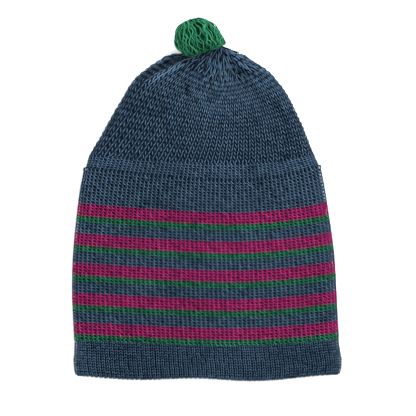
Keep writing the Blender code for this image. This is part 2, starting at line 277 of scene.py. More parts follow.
def hat_surface(in_crown, along, place, inset):
    """Points of the hat. along: distance from the rim's side of the zone. place: share of the way
    round the course, from the top's right end over the top. inset: depth under the outer face."""
    along, place, inset = np.broadcast_arrays(along, place, inset)
    at = along / (CROWN_LENGTH if in_crown else BAND_LENGTH)
    columns = read_table(CROWN_SECTIONS if in_crown else BAND_SECTIONS, at)
    left, middle, right, left_rise, right_rise, side, dome, lift = columns[1:]
    half_rim = RIM_WIDTH / 2
    half = (right - left) / 2 * half_rim
    centre = (right + left) / 2 * half_rim
    radius = np.minimum(side * SIDE_LOFT, THICKEST * half) / 2
    flat = half - radius
    bend = math.pi * radius
    arc = (place % 1.0) * (4 * flat + 2 * bend)
    top = np.clip(arc / (2 * flat), 0, 1)
    left_side = np.clip((arc - 2 * flat) / bend, 0, 1)
    bottom = np.clip((arc - 2 * flat - bend) / (2 * flat), 0, 1)
    right_side = np.clip((arc - 4 * flat - bend) / bend, 0, 1)
    turn = math.pi * (left_side + right_side)
    out_x = -np.sin(turn)
    out_z = np.cos(turn)
    base = flat * (1 - 2 * top + 2 * bottom)
    sideways = base + radius * out_x
    push = -inset
    if in_crown:
        push = push + folds_at(at, sideways / half) * (1 + out_z) / 2
        pleat = PLEAT_DEPTH * np.maximum(at - PLEATS_FROM, 0) / (1 - PLEATS_FROM)
        # Of 42 parts of the pleats 20 lie on the top side, 6 at each side fold and 10 below
        round_share = (20 * top + 6 * left_side + 10 * bottom + 6 * right_side) / 42
        push = push - pleat * (0.5 - 0.5 * np.cos(PLEATS * math.tau * round_share))
    sideways = sideways + out_x * push
    up = radius * out_z + out_z * push
    across = np.clip(sideways / half, -1, 1)
    hump = dome * (MIDDLE_LOFT - SIDE_LOFT) * (1 - (base / flat) ** 2) ** 2
    up = up + np.where(left_side > 0, 0.0, hump)
    low_point = LOW_POINT * (1 - at) if in_crown else np.full_like(at, LOW_POINT)
    left_share = np.maximum((low_point - across) / (1 + low_point), 0)
    right_share = np.maximum((across - low_point) / (1 - low_point), 0)
    rise = left_rise * left_share**LEFT_CURVE + right_rise * right_share**RIGHT_CURVE
    x = centre + sideways + (middle * half_rim - centre) * (1 - across**2)
    y = (BAND_LENGTH if in_crown else 0.0) + along + RIM_WIDTH * rise
    if not in_crown:
        wave = WAVE_HEIGHT * np.cos(math.tau * (across - WAVE_LOW) / WAVE_LENGTH)
        y = y - wave * np.maximum(1 - at / WAVE_REACH, 0)
    z = up + radius + np.maximum(lift, 0) * SIDE_LOFT
    return np.stack([x, y, z], axis=-1)


top_middle = hat_surface(False, np.array(BAND_LENGTH / 2), np.array(0.22), np.array(0.0))
print("the band's top side lies", round(float(top_middle[2]) / MM, 1), "mm high near its middle")

# %% [markdown]
# ## Fitting the surface to the frame
#
# The solid model was moved so that the origin lies below its middle. Comparing one ring of the
# surface with the same ring's box in the frame gives that move. The crown's box is then a test:
# if the two agree within a fraction of a millimetre, the surface is the solid's own.

# %% Move the surface into the frame
# How many levels are compared, and how many places round each of them
RING_GRID = (4, 3000)
CROWN_GRID = (400, 800)
band_top_start = HEM_LENGTH + STRIPE_ROWS * BAND_ROW + SEAT_GAP / 2
ring = hat_surface(
    False,
    np.linspace(band_top_start, BAND_LENGTH - SEAT_GAP / 2, RING_GRID[0])[:, None],
    np.linspace(0, 1, RING_GRID[1])[None, :],
    0.0,
)
ring_low, ring_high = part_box("band_top")
SHIFT = np.array([
    ring_low.x - ring[..., 0].min(),
    ring_high.y - ring[..., 1].max(),
    ring_low.z - ring[..., 2].min(),
])
crown_low, crown_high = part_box("crown")
test_levels = np.linspace(SEAT_GAP / 2, CROWN_LENGTH, CROWN_GRID[0])[:, None]
test_places = np.linspace(0, 1, CROWN_GRID[1])[None, :]
test_inset = FOLD_STEP * np.maximum(1 - test_levels / YOKE_LENGTH, 0)
crown_points = hat_surface(True, test_levels, test_places, test_inset) + SHIFT
print("crown's left edge, mm off:", round((crown_points[..., 0].min() - crown_low.x) / MM, 2))
print("crown's top end, mm off:", round((crown_points[..., 1].max() - crown_high.y) / MM, 2))

# %% [markdown]
# ## The doubled band and its rim
#
# The band is one fabric folded in two, and its rim is the fold. Distances are measured along the
# fabric from that fold: positive on the outer side, negative on the side that faces the head. Rows
# that cross the fold then turn round it by themselves, with no seam to hide.

# %% Find a point of the band
FOLD_RADIUS = BAND_WALL / 2
QUARTER_TURN = math.pi / 2 * FOLD_RADIUS
OUTER_SLACK = QUARTER_TURN - FOLD_RADIUS
RIDGE_AT = 13.5 * MM
RIDGE_HEIGHT = 0.35 * MM
RIDGE_SPREAD = 1.3 * MM


def band_point(level, place, depth):
    """A point of the doubled band. level: distance along the fabric from the fold of the rim."""
    ridge = RIDGE_HEIGHT * np.exp(-(((level - RIDGE_AT) / RIDGE_SPREAD) ** 2))
    turn = np.clip(level / FOLD_RADIUS, -math.pi / 2, math.pi / 2)
    reach = FOLD_RADIUS - depth
    beyond = np.maximum(np.abs(level) - QUARTER_TURN, 0)
    along = FOLD_RADIUS - reach * np.cos(turn) + beyond
    inset = FOLD_RADIUS - reach * np.sin(turn) - ridge
    return hat_surface(False, along, place, inset) + SHIFT


print("rim point:", np.round(band_point(np.array(0.0), np.array(0.2), np.array(0.0)) / MM, 1))

# %% [markdown]
# ## The slack of the crown
#
# The crown is one thin layer with nothing to stretch it, so it is not as even as the band. Its columns
# drift to the side, its flanks bulge, its edge rises where the pompom's weight pulls at it, and a few
# creases run to the gather. Each of these is a small shift of the surface's points. The creases also paint
# shade into their valleys and a highlight onto their crests.

# %% Find a point of the crown
# How the crown's columns drift to the side on their way up, as a share of the course for a metre
SWIRL = 0.75
SWIRL_TO_LEFT = 0.35
# How far both flanks bulge, and over which shares of the length the bulge comes and goes
FULLNESS = 2.4 * MM
FULLNESS_RISE = 0.45
FULLNESS_FALL = 0.3
# The same for the right flank of the neck below the pompom
NECK_FULLNESS = 4.6 * MM
NECK_FROM = 0.77
NECK_OVER = 0.14
# How far the far edge rises beside the pompom, where, how far to each side, and how flat it gets
EDGE_LIFT = 6.0 * MM
EDGE_LIFT_AT = 5.0 * MM
EDGE_LIFT_LEFT = 24 * MM
EDGE_LIFT_RIGHT = 11 * MM
EDGE_LIFT_FROM = 94 * MM
EDGE_LIFT_OVER = 14 * MM
EDGE_FLATTENING = 0.35
# Creases of the crown's top side, mm: from x and y, to x and y, height, spread; then their shade
CREASES = (
    (-52.0, 82.0, -2.0, 110.0, 1.8, 1.8, -0.70),
    (-54.9, 87.2, -6.9, 114.2, -2.6, 3.0, 0.35),
    (15.0, 112.0, 33.0, 96.0, 1.2, 2.2, -0.45),
    (13.5, 107.0, 32.0, 90.0, -1.5, 2.2, 0.30),
    (-14.2, 88.0, -15.0, 76.0, -0.8, 1.6, 0.40),
)
CREASE_END = 1.05
CREASE_FADE = 0.3
TOP_SIDE_FROM = 5 * MM
TOP_SIDE_OVER = 4 * MM
# The gather: strands, how far a strand's two columns close up, and how long and deep its slits are
STRANDS = 37
STRAND_PULL = 0.75
SLIT_LENGTH = 6.6 * MM
SLIT_SHIFT = 9.25
GATHER_DEPTH = 1.2 * MM
GATHER_FROM = 0.55
GATHER_OVER = 0.36
# How the slits wander along the strands: how far, waves round the crown, start
WANDER = ((1.9, 5, 0), (1.6, 11, 1))


def gathering(level):
    """How strongly the gather draws the fabric together, from 0 at the shoulders to 1 at the end."""
    return ease((level / CROWN_LENGTH - GATHER_FROM) / GATHER_OVER)


def pull(level, place):
    """How strongly neighbouring columns are drawn into one strand. The sign changes along a strand,
    and a column then leaves its partner on one side for the one on the other side."""
    wander = sum(far * np.sin(math.tau * waves * place + start) for far, waves, start in WANDER)
    turn = math.pi * level / SLIT_LENGTH + math.tau * SLIT_SHIFT * place + wander
    return gathering(level) * np.cos(turn)


def slits(level, place):
    """How far a place lies in a slit between two strands: 1 in its middle, -1 on a strand."""
    return pull(level, place) * np.cos(math.tau * STRANDS * place)


def creases(points):
    """How high the creases lift the top side at some points, and how much of the light they take."""
    height = np.zeros(points.shape[:-1])
    shade = np.zeros(points.shape[:-1])
    top_side = ease((points[..., 2] - TOP_SIDE_FROM) / TOP_SIDE_OVER)
    for from_x, from_y, to_x, to_y, rise, spread, dark in CREASES:
        run = np.array([to_x - from_x, to_y - from_y]) * MM
        length = np.linalg.norm(run)
        beside = points[..., :2] - np.array([from_x, from_y]) * MM
        along = beside @ run / length**2
        off = beside @ np.array([-run[1], run[0]]) / length
        bell = np.exp(-((off / (spread * MM)) ** 2)) * top_side
        bell = bell * ease(along / CREASE_FADE) * ease((CREASE_END - along) / CREASE_FADE)
        height += rise * MM * bell
        shade += dark * bell
    return height, shade


def crown_point(level, place, depth):
    """A point of the crown. level: distance along the fabric from the fold line above the band."""
    inset = depth + FOLD_STEP * np.maximum(1 - level / YOKE_LENGTH, 0)
    inset = inset + GATHER_DEPTH * (gathering(level) + slits(level, place)) / 2
    around = math.tau * STRANDS
    place = place + STRAND_PULL * pull(level, place) * np.sin(around * place) / around
    drift = SWIRL * (1 - SWIRL_TO_LEFT * np.cos(math.tau * place))
    place = place - drift * np.maximum(level - YOKE_LENGTH, 0)
    points = hat_surface(True, level, place, inset) + SHIFT
    at = np.broadcast_to(level / CROWN_LENGTH, points.shape[:-1])
    left, right = read_table(CROWN_SECTIONS, at)[[1, 3]]
    middle = (left + right) / 2 * RIM_WIDTH / 2 + SHIFT[0]
    across = (points[..., 0] - middle) / ((right - left) / 2 * RIM_WIDTH / 2)
    points[..., 0] += FULLNESS * ease(at / FULLNESS_RISE) * ease((1.0 - at) / FULLNESS_FALL) * across**3
    neck = ease((at - NECK_FROM) / NECK_OVER)
    points[..., 0] += NECK_FULLNESS * neck * np.maximum(across, 0) ** 2
    beside = points[..., 0] - EDGE_LIFT_AT
    beside = beside / np.where(beside < 0, EDGE_LIFT_LEFT, EDGE_LIFT_RIGHT)
    lifted = np.exp(-(beside**2)) * ease((points[..., 1] - EDGE_LIFT_FROM) / EDGE_LIFT_OVER)
    points[..., 2] += creases(points)[0]
    points[..., 1] += EDGE_LIFT * lifted
    points[..., 2] *= 1 - EDGE_FLATTENING * lifted
    return points


print("strands at the gather:", STRANDS, "and creases:", len(CREASES))

# %% [markdown]
# ## One stitch
#
# A plain stitch is a loop of yarn shaped like a horseshoe, whose head passes behind the next row.
# Eight points draw it well: across the column, up the row, and how deep in the fabric. On this hat
# the heads point down. The left leg stands upright and lies behind. The right leg runs steeply in
# front of it, and a short flat piece bridges the gap to the next column. Between two bridges a dark
# well stays open, and these wells make the grid of dark points that the band shows. Under the hat,
# where the floor hides the fabric, four of the points are enough.

# %% Draw one course of stitches
# Across: share of the column's width. Up: -1 at the head, 1 at the feet. Deep: 0 in front.
PLAIN_LOOP = np.array([
    (-0.50, 0.95, 1.00),
    (-0.27, 0.45, 0.50),
    (-0.26, -0.45, 0.40),
    (0.00, -0.95, 0.95),
    (0.40, -0.92, 1.00),
    (0.59, -0.52, 0.26),
    (0.19, -0.37, 0.00),
    (-0.09, 0.54, 0.06),
])
# The points drawn where the hat lies on the floor, and between which shares of the round that is
BELOW = [0, 2, 4, 6]
UNDERSIDE = (0.52, 0.91)
Course = namedtuple("Course", "place up deep stitch count")


def make_course(wales, loop):
    """One round of stitches. wales: how many columns of them go round. loop: the stitch's points."""
    points, stitches = [], []
    for wale in range(wales):
        hidden = UNDERSIDE[0] < 1 - (wale + 0.5) / wales < UNDERSIDE[1]
        drawn = loop[BELOW] if hidden else loop
        place = 1 - (wale + 0.5 + drawn[:, 0]) / wales
        points.append(np.column_stack([place, drawn[:, 1], drawn[:, 2]]))
        stitches += [wale] * len(drawn)
    place, up, deep = np.concatenate(points).T
    return Course(place, up, deep, np.array(stitches), wales)


BAND_WALES = 124
band_course = make_course(BAND_WALES, PLAIN_LOOP)
print("points in one course of the band:", len(band_course.place))

# %% [markdown]
# ## From a path to a tube of yarn
#
# A course is a closed line through space, and yarn is a tube round it. At each point of the line a
# small ring is set square to the line, with one corner pointing out of the fabric, and rings that
# follow each other are joined by four-sided faces. Blender's curves could do this too, but arrays
# give full control of the maps below and are much faster for thousands of stitches.

# %% Build tubes of yarn
YARN_SIDES = 5


def yarn_rings(centres, outward, radius):
    """Rings round closed lines. centres and outward hold strands of points; radius one number each."""
    heading = unit(np.roll(centres, -1, axis=1) - np.roll(centres, 1, axis=1))
    side = unit(np.cross(heading, outward))
    out = np.cross(side, heading)
    turns = math.tau * np.arange(YARN_SIDES) / YARN_SIDES
    spokes = out[:, :, None] * np.cos(turns)[:, None] + side[:, :, None] * np.sin(turns)[:, None]
    return centres[:, :, None] + spokes * radius[..., None, None]


def tube_faces(strands, samples):
    """Four-sided faces that join the rings of closed strands, facing outward."""
    ring_number = np.arange(samples)[:, None] * YARN_SIDES
    next_ring = (np.arange(samples)[:, None] + 1) % samples * YARN_SIDES
    corner = np.arange(YARN_SIDES)
    next_corner = (corner + 1) % YARN_SIDES
    corners = [ring_number + corner, ring_number + next_corner]
    corners += [next_ring + next_corner, next_ring + corner]
    one = np.stack(corners, axis=-1).reshape(1, -1, 4)
    offset = np.arange(strands)[:, None, None] * samples * YARN_SIDES
    return (one + offset).reshape(-1, 4)


def mesh_object(name, points, faces):
    """An object from arrays of points and of four-sided faces, with smooth shading."""
    mesh = bpy.data.meshes.new(name)
    mesh.vertices.add(len(points))
    mesh.vertices.foreach_set("co", points.astype(np.float32).ravel())
    mesh.loops.add(faces.size)
    mesh.loops.foreach_set("vertex_index", faces.astype(np.int32).ravel())
    mesh.polygons.add(len(faces))
    mesh.polygons.foreach_set("loop_start", np.arange(0, faces.size, 4, dtype=np.int32))
    mesh.update(calc_edges=True)
    mesh.validate()
    mesh.shade_smooth()
    return add_object(name, mesh)


def add_map(item, name, u, v):
    """A UV map from one pair of numbers for each corner of each face."""
    layer = item.data.uv_layers.new(name=name)
    layer.uv.foreach_set("vector", np.stack([u, v], axis=-1).astype(np.float32).ravel())


print("faces in one course of the band:", len(tube_faces(1, len(band_course.place))))

# %% [markdown]
# ## Three maps for the yarn
#
# The first map unrolls the yarn: how far along the strand a point lies, and how far round it. The twist of
# the plies is drawn in it. The second tells how deep in the fabric the point lies, with painted shade and
# light added to it, and holds a number drawn at random for each stitch, raised by the painted highlights
# on the creases. The third lays the strand's pieces side by side in a square without overlaps, like a long
# ribbon cut into lines of text. An export needs such a map to bake the finish into a picture.


# %% Give a tube its three maps
def map_yarn(item, centres, deep, lot_and_painted_light):
    """The maps of closed strands: yarn (mm along, share round), stitch (depth with painted shade, and a
    number drawn at random with painted light) and OFBake.
    """
    strands, samples = centres.shape[:2]
    step = np.linalg.norm(np.roll(centres, -1, axis=1) - centres, axis=-1) / MM
    start = np.cumsum(step, axis=1) - step
    near = np.repeat(start.reshape(-1), YARN_SIDES)
    far = near + np.repeat(step.reshape(-1), YARN_SIDES)
    corner = np.tile(np.arange(YARN_SIDES), strands * samples) / YARN_SIDES
    after = corner + 1 / YARN_SIDES
    add_map(item, "yarn", np.stack([near, near, far, far], 1), np.stack([corner, after, after, corner], 1))
    pairs = []
    for values in (deep, lot_and_painted_light):
        near = np.repeat(values.reshape(-1), YARN_SIDES)
        far = np.repeat(np.roll(values, -1, axis=1).reshape(-1), YARN_SIDES)
        pairs.append(np.stack([near, near, far, far], 1))
    add_map(item, "stitch", *pairs)
    pieces = strands * samples
    columns = math.ceil(math.sqrt(pieces * YARN_SIDES))
    lines = math.ceil(pieces / columns)
    piece = np.repeat(np.arange(pieces), YARN_SIDES)
    left = piece % columns / columns
    right = left + 1 / columns
    low = (piece // columns + corner) / lines
    high = low + 1 / (YARN_SIDES * lines)
    add_map(item, "OFBake", np.stack([left, left, right, right], 1), np.stack([low, high, high, low], 1))


# %% [markdown]
# ## Laying courses of yarn
#
# A piece of knitting is a stack of courses, each reaching into the next. Machine knitting is
# regular, but never perfect: loops lean and rise by a few tenths of a millimetre. Random numbers
# move the lower end of each loop a little, and hardly its upper end. They are seeded, so every run
# gives the same hat.

# %% Lay courses of yarn
YARN_RADIUS = 0.32 * MM
LOOP_RISE = 0.80
LOOP_DEPTH = 1.30 * MM
LEAN = 0.08
UNEVEN = 0.11
UNEVEN_DEPTH = 0.09 * MM
LOT_SPREAD = 0.21
FRONT_THICKNESS = 1.15
BACK_THINNING = 0.40
WEAK_LIGHT = 0.10
OUTWARD_STEP = 0.1 * MM
CHANCE = np.random.default_rng(11)


def lay_courses(name, course, levels, row, point, radius, raised=0.0, shade=None):
    """A piece of knitting. levels: the courses' places along the fabric. point: the surface. raised:
    how far the yarn stands up. shade: how much deeper in the shade it lies, from its level, place
    and centres. Below nought that is light, and more than a weak light brightens whole stitches."""
    levels = np.asarray(levels, float)[:, None]
    chance = CHANCE.normal(size=(3, len(levels), course.count))[:, :, course.stitch]
    low_end = 0.5 - 0.5 * course.up
    place = course.place + LEAN / course.count * chance[0] * low_end
    level = levels + LOOP_RISE * row * (course.up + UNEVEN * chance[1] * low_end)
    depth = radius + LOOP_DEPTH * course.deep + UNEVEN_DEPTH * chance[2] * low_end - raised
    centres = point(level, place, depth)
    outward = point(level, place, depth - OUTWARD_STEP) - centres
    centres[..., 2] = np.maximum(centres[..., 2], radius)
    thickness = radius * (FRONT_THICKNESS - BACK_THINNING * course.deep)
    rings = yarn_rings(centres, outward, thickness * np.ones_like(place))
    deep = course.deep * np.ones_like(place)
    lot_and_painted_light = 0.5 + LOT_SPREAD * chance[2]
    # Painted shade and light: the shading is added to the depth in the stitch map, and a strong painted
    # light also raises the drawn number
    if shade:
        shading = shade(level, place, centres)
        deep = deep + shading
        lot_and_painted_light = lot_and_painted_light + np.maximum(-shading - WEAK_LIGHT, 0)
    strands, samples = centres.shape[:2]
    faces = tube_faces(strands, samples)
    item = mesh_object(name, rings.reshape(-1, 3), faces)
    map_yarn(item, centres, np.clip(deep, 0.0, 1.0), lot_and_painted_light)
    print(name, "courses:", strands, "triangles:", 2 * len(faces))
    return item


# %% [markdown]
# ## The twist of the yarn
#
# The yarn is spun from thin plies that wind round each other. Seen close, each strand has slanting
# ridges with a dark line between them. The unrolled map makes this easy: the ridges are straight
# lines in it. Every yarn on the hat is twisted the same way, so the effect is one node group that
# each material uses with its own values.


# %% Build the twist group
def new_group(name, inputs, outputs):
    """An empty shader node group with its sockets. Gives the group, its inputs and its outputs."""
    group = bpy.data.node_groups.new(name, "ShaderNodeTree")
    for socket, kind in inputs:
        group.interface.new_socket(socket, in_out="INPUT", socket_type=kind)
    for socket, kind in outputs:
        group.interface.new_socket(socket, in_out="OUTPUT", socket_type=kind)
    return group, group.nodes.new("NodeGroupInput"), group.nodes.new("NodeGroupOutput")


def feed(tree, socket, value):
    """Give an input a fixed value, or a link if the value is another node's output."""
    if isinstance(value, bpy.types.NodeSocket):
        tree.links.new(value, socket)
    else:
        socket.default_value = value


def maths(tree, operation, first, second=0.0):
    """A Math node. Its inputs are sockets or numbers."""
    node = tree.nodes.new("ShaderNodeMath")
    node.operation = operation
    feed(tree, node.inputs[0], first)
    feed(tree, node.inputs[1], second)
    return node.outputs["Value"]


twist_group, given, result = new_group(
    "ply_twist",
    [("Along", "NodeSocketFloat"), ("Around", "NodeSocketFloat")]
    + [("Plies", "NodeSocketFloat"), ("Turns per mm", "NodeSocketFloat")],
    [("Ridge", "NodeSocketFloat")],
)
wound = maths(twist_group, "MULTIPLY", given.outputs["Along"], given.outputs["Turns per mm"])
wound = maths(twist_group, "ADD", wound, given.outputs["Around"])
wound = maths(twist_group, "MULTIPLY", wound, given.outputs["Plies"])
wave = maths(twist_group, "SINE", maths(twist_group, "MULTIPLY", wound, math.pi))
ridge = maths(twist_group, "ABSOLUTE", wave)
twist_group.links.new(ridge, result.inputs["Ridge"])
print("group", twist_group.name, "has", len(twist_group.nodes), "nodes")

# %% [markdown]
# ## Uneven dye and loose fibre
#
# Dyed yarn is never one flat colour. Over a few centimetres it drifts a little lighter and darker,
# and close up its fibres catch the light as fine specks. Two noise textures at those two sizes
# are added, and their sum is spread round one half. Each material mixes its colours with it.

# %% Build the dye group
NOISE_DETAIL = 3.0
DYE_SPREAD = 1.5
dye_group, given, result = new_group(
    "uneven_dye",
    [("Patch per m", "NodeSocketFloat"), ("Fibre per m", "NodeSocketFloat")],
    [("Light", "NodeSocketFloat"), ("Fibre", "NodeSocketFloat")],
)
coordinates = dye_group.nodes.new("ShaderNodeTexCoord")
noises = []
for scale in ("Patch per m", "Fibre per m"):
    noise = dye_group.nodes.new("ShaderNodeTexNoise")
    noise.inputs["Detail"].default_value = NOISE_DETAIL
    dye_group.links.new(coordinates.outputs["Object"], noise.inputs["Vector"])
    dye_group.links.new(given.outputs[scale], noise.inputs["Scale"])
    noises.append(noise.outputs["Fac"])
both = maths(dye_group, "ADD", noises[0], noises[1])
spread_out = maths(dye_group, "MULTIPLY", maths(dye_group, "SUBTRACT", both, 1.0), DYE_SPREAD)
light = maths(dye_group, "ADD", spread_out, 0.5)
dye_group.links.new(light, result.inputs["Light"])
dye_group.links.new(noises[1], result.inputs["Fibre"])
print("group", dye_group.name, "has", len(dye_group.nodes), "nodes")

# %% [markdown]
# ## Shade between the strands
#
# Deep in the fabric and along the flanks of each strand little light gets in, and what does is
# swallowed by the fuzz of the neighbouring strands. A smooth tube has no such fuzz, so its shade is
# helped by a mask: 1 on the ridge of a strand that lies in front, and less towards its flanks and
# with its depth.

# %% Build the shade group
RIDGE_NARROWNESS = 2.4
shade_group, given, result = new_group(
    "strand_shade",
    [("Around", "NodeSocketFloat"), ("Depth", "NodeSocketFloat"), ("Depth shade", "NodeSocketFloat")],
    [("Light", "NodeSocketFloat")],
)
turned = maths(shade_group, "COSINE", maths(shade_group, "MULTIPLY", given.outputs["Around"], math.tau))
flank = maths(shade_group, "ADD", maths(shade_group, "MULTIPLY", turned, 0.5), 0.5)
ridge_light = maths(shade_group, "POWER", flank, RIDGE_NARROWNESS)
loss = maths(shade_group, "MULTIPLY", given.outputs["Depth"], given.outputs["Depth shade"])
depth_light = maths(shade_group, "MAXIMUM", maths(shade_group, "SUBTRACT", 1.0, loss), 0.0)
lit = maths(shade_group, "MULTIPLY", ridge_light, depth_light)
shade_group.links.new(lit, result.inputs["Light"])
print("group", shade_group.name, "has", len(shade_group.nodes), "nodes")

# %% [markdown]
# ## The yarns
#
# One material for each colour of yarn. Its colour paints the light and shade: a dark tone lies in the
# painted shade of the flanks, the depth and between the plies, a light tone on the ridges. Stitches differ
# a little from each other, by their lots, and on the crests of the creases a painted highlight is added to
# the lots. Wool and acrylic are matt, so there is almost no gloss, and no sheen either, which would whiten
# the dark gaps. The shader itself stays in the material, because a group should only give masks and
# heights.

# %% Make the yarn materials
# For each yarn: the tone in the shade, the tone in the light, how fast it darkens with its depth
YARNS = {
    "slate_blue": ((0.0002, 0.0016, 0.0060), (0.115, 0.220, 0.350), 1.6),
    "magenta": ((0.050, 0.0004, 0.012), (0.670, 0.046, 0.270), 1.5),
    "green": ((0.0003, 0.010, 0.005), (0.049, 0.340, 0.162), 1.5),
    "pompom_green": ((0.0002, 0.012, 0.004), (0.048, 0.345, 0.172), 1.15),
}
PLIES = 3
TURNS_PER_MM = 0.28
TWIST_SHARE = 0.25
DYE_SHARE = 0.35
LOT_SHARE = 0.55
FIBRE_HEIGHT = 0.3
YARN_RELIEF = 0.12 * MM
PATCHES_PER_M = 25.0
FIBRES_PER_M = 2600.0
MATT = 0.9
GLOSS = 0.03
FAINT_SHEEN = 0.05
SHEEN_ROUGHNESS = 0.5


def add_group(tree, group, values):
    """A group placed in a material. values: for each of its inputs a number or a socket."""
    node = tree.nodes.new("ShaderNodeGroup")
    node.node_tree = group
    for name, value in values.items():
        feed(tree, node.inputs[name], value)
    return node


def mix_colours(tree, factor, dark, light_tone):
    """A Mix node between two tones, each given as numbers or as a socket."""
    mix = tree.nodes.new("ShaderNodeMix")
    mix.data_type = "RGBA"
    for name, value in (("A", dark), ("B", light_tone)):
        feed(tree, mix.inputs[name], (*value, 1.0) if isinstance(value, tuple) else value)
    feed(tree, mix.inputs["Factor"], factor)
    return mix.outputs["Result"]


def new_material(name, sheen):
    """A matt material with a Principled shader. Gives the material, its tree and its shader."""
    material = bpy.data.materials.new(name)
    material.use_nodes = True
    shader = material.node_tree.nodes["Principled BSDF"]
    shader.inputs["Roughness"].default_value = MATT
    shader.inputs["Sheen Weight"].default_value = sheen
    shader.inputs["Sheen Roughness"].default_value = SHEEN_ROUGHNESS
    shader.inputs["Specular IOR Level"].default_value = GLOSS
    return material, material.node_tree, shader


def add_bump(tree, shader, height, distance):
    """A Bump node from a height to the shader."""
    bump = tree.nodes.new("ShaderNodeBump")
    bump.inputs["Strength"].default_value = 1.0
    bump.inputs["Distance"].default_value = distance
    tree.links.new(height, bump.inputs["Height"])
    tree.links.new(bump.outputs["Normal"], shader.inputs["Normal"])


def read_map(tree, name):
    """The two numbers of a UV map, as sockets."""
    source = tree.nodes.new("ShaderNodeUVMap")
    source.uv_map = name
    parts = tree.nodes.new("ShaderNodeSeparateXYZ")
    tree.links.new(source.outputs["UV"], parts.inputs["Vector"])
    return parts.outputs["X"], parts.outputs["Y"]


def yarn_material(name, dark, light_tone, depth_shade):
    """Twisted, unevenly dyed yarn. depth_shade: how fast it loses the light with its depth."""
    material, tree, shader = new_material(name + "_yarn", 0.0)
    strand_along, strand_round = read_map(tree, "yarn")
    deep, lot_and_painted_light = read_map(tree, "stitch")
    winding = {"Along": strand_along, "Around": strand_round}
    twist = add_group(tree, twist_group, {**winding, "Plies": PLIES, "Turns per mm": TURNS_PER_MM})
    position = {"Around": strand_round, "Depth": deep}
    shade = add_group(tree, shade_group, {**position, "Depth shade": depth_shade})
    dye = add_group(tree, dye_group, {"Patch per m": PATCHES_PER_M, "Fibre per m": FIBRES_PER_M})
    # Painted light and shade of the plies: the ridges lighter, the grooves between them darker
    strength = maths(tree, "MULTIPLY", twist.outputs["Ridge"], TWIST_SHARE)
    strength = maths(tree, "ADD", strength, maths(tree, "MULTIPLY", dye.outputs["Light"], DYE_SHARE))
    strength = maths(tree, "ADD", strength, maths(tree, "MULTIPLY", lot_and_painted_light, LOT_SHARE))
    # Painted shade: the strand mask darkens each strand's flanks and its depth
    tone = maths(tree, "MULTIPLY", strength, shade.outputs["Light"])
    tree.links.new(mix_colours(tree, tone, dark, light_tone), shader.inputs["Base Color"])
    height = maths(tree, "MULTIPLY", dye.outputs["Fibre"], FIBRE_HEIGHT)
    height = maths(tree, "ADD", height, twist.outputs["Ridge"])
    add_bump(tree, shader, height, YARN_RELIEF)
    return material


yarns = {name: yarn_material(name, *tones) for name, tones in YARNS.items()}
print("yarns:", ", ".join(yarns))

# %% [markdown]
# ## The hem and the lining
#
# The hem is plain blue and knitted tighter. Its rows run down to the rim, turn round the fold and go
# on inside, where the wearer's forehead would be. The first rows of the inside are knitted too,
# because they show when somebody looks into the hat.


# %% Knit the hem and the lining
def finish_piece(item, slot, *nodes):
    """Fix a piece to the hat, give it its yarn and hide the solids that it stands for."""
    item.data.materials.append(yarns[slot])
    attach(item, "root")
    if nodes:
        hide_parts(*nodes)
    return item


HEM_TURN_ROWS = 1
LINING_ROWS = 7
# In the tight hem only the middle of each leg comes to the front, as a short bead.
TIGHT_LOOP = np.array([
    (-0.50, -0.34, 0.82),
    (-0.35, -0.50, 0.56),
    (-0.24, 0.00, 0.08),
    (-0.12, 0.46, 0.46),
    (0.00, 0.38, 0.52),
    (0.12, 0.46, 0.46),
    (0.24, 0.00, 0.08),
    (0.35, -0.50, 0.56),
])
hem_course = make_course(BAND_WALES, TIGHT_LOOP)
hem_top = HEM_LENGTH + OUTER_SLACK
hem_levels = hem_top - (np.arange(HEM_ROWS + HEM_TURN_ROWS) + 0.5) * HEM_ROW
lining_levels = hem_levels[-1] - (np.arange(LINING_ROWS) + 1) * HEM_ROW
HEM_LIGHT = 0.04


def hem_shade(level, place, centres):
    """Painted light, the same all over: it takes a little of the depth shade off the hem's yarn."""
    return np.full(centres.shape[:-1], -HEM_LIGHT)


hem_knit = lay_courses(
    "hem_knit", hem_course, hem_levels, HEM_ROW, band_point, YARN_RADIUS, shade=hem_shade
)
lining_knit = lay_courses("lining_knit", band_course, lining_levels, HEM_ROW, band_point, YARN_RADIUS)
band_knits = [finish_piece(hem_knit, "slate_blue", "hem")]
band_knits.append(finish_piece(lining_knit, "slate_blue", "hem"))

# %% [markdown]
# ## The stripes
#
# Above the hem come five pairs of stripes, each two green rows under four magenta ones, with four
# blue rows from one pair to the next. Each stripe is a piece of its own, so that it can be dyed or
# taken off by itself. A loop knits the pairs from the rim upward.


# %% Knit the stripes
def knit_ring(name, start, rows, slot, raised=0.0):
    """One stripe of the band that begins at a distance from the rim."""
    levels = start + OUTER_SLACK + (np.arange(rows) + 0.5) * BAND_ROW
    item = lay_courses(name + "_knit", band_course, levels, BAND_ROW, band_point, YARN_RADIUS, raised)
    return finish_piece(item, slot, name)


along = HEM_LENGTH
for pair in range(STRIPE_PAIRS, 0, -1):
    stripes = [("green_stripe_%d" % pair, GREEN_ROWS, "green")]
    stripes.append(("magenta_stripe_%d" % pair, MAGENTA_ROWS, "magenta"))
    if pair > 1:
        stripes.append(("blue_stripe_%d" % (pair - 1), BLUE_ROWS, "slate_blue"))
    for name, rows, slot in stripes:
        band_knits.append(knit_ring(name, along, rows, slot))
        along += rows * BAND_ROW

# %% [markdown]
# ## The top of the band
#
# Eleven plain rows end the band. At the fold line the doubled fabric stops and the thin crown goes
# on, a step lower. The last row stands up as a small lip, and that step leaves a dark line above.

# %% Knit the top of the band
LIP = 0.55 * MM
lip_rows = np.zeros((TOP_BLUE_ROWS, 1))
lip_rows[-1] = LIP
band_knits.append(knit_ring("band_top", along, TOP_BLUE_ROWS, "slate_blue", lip_rows))
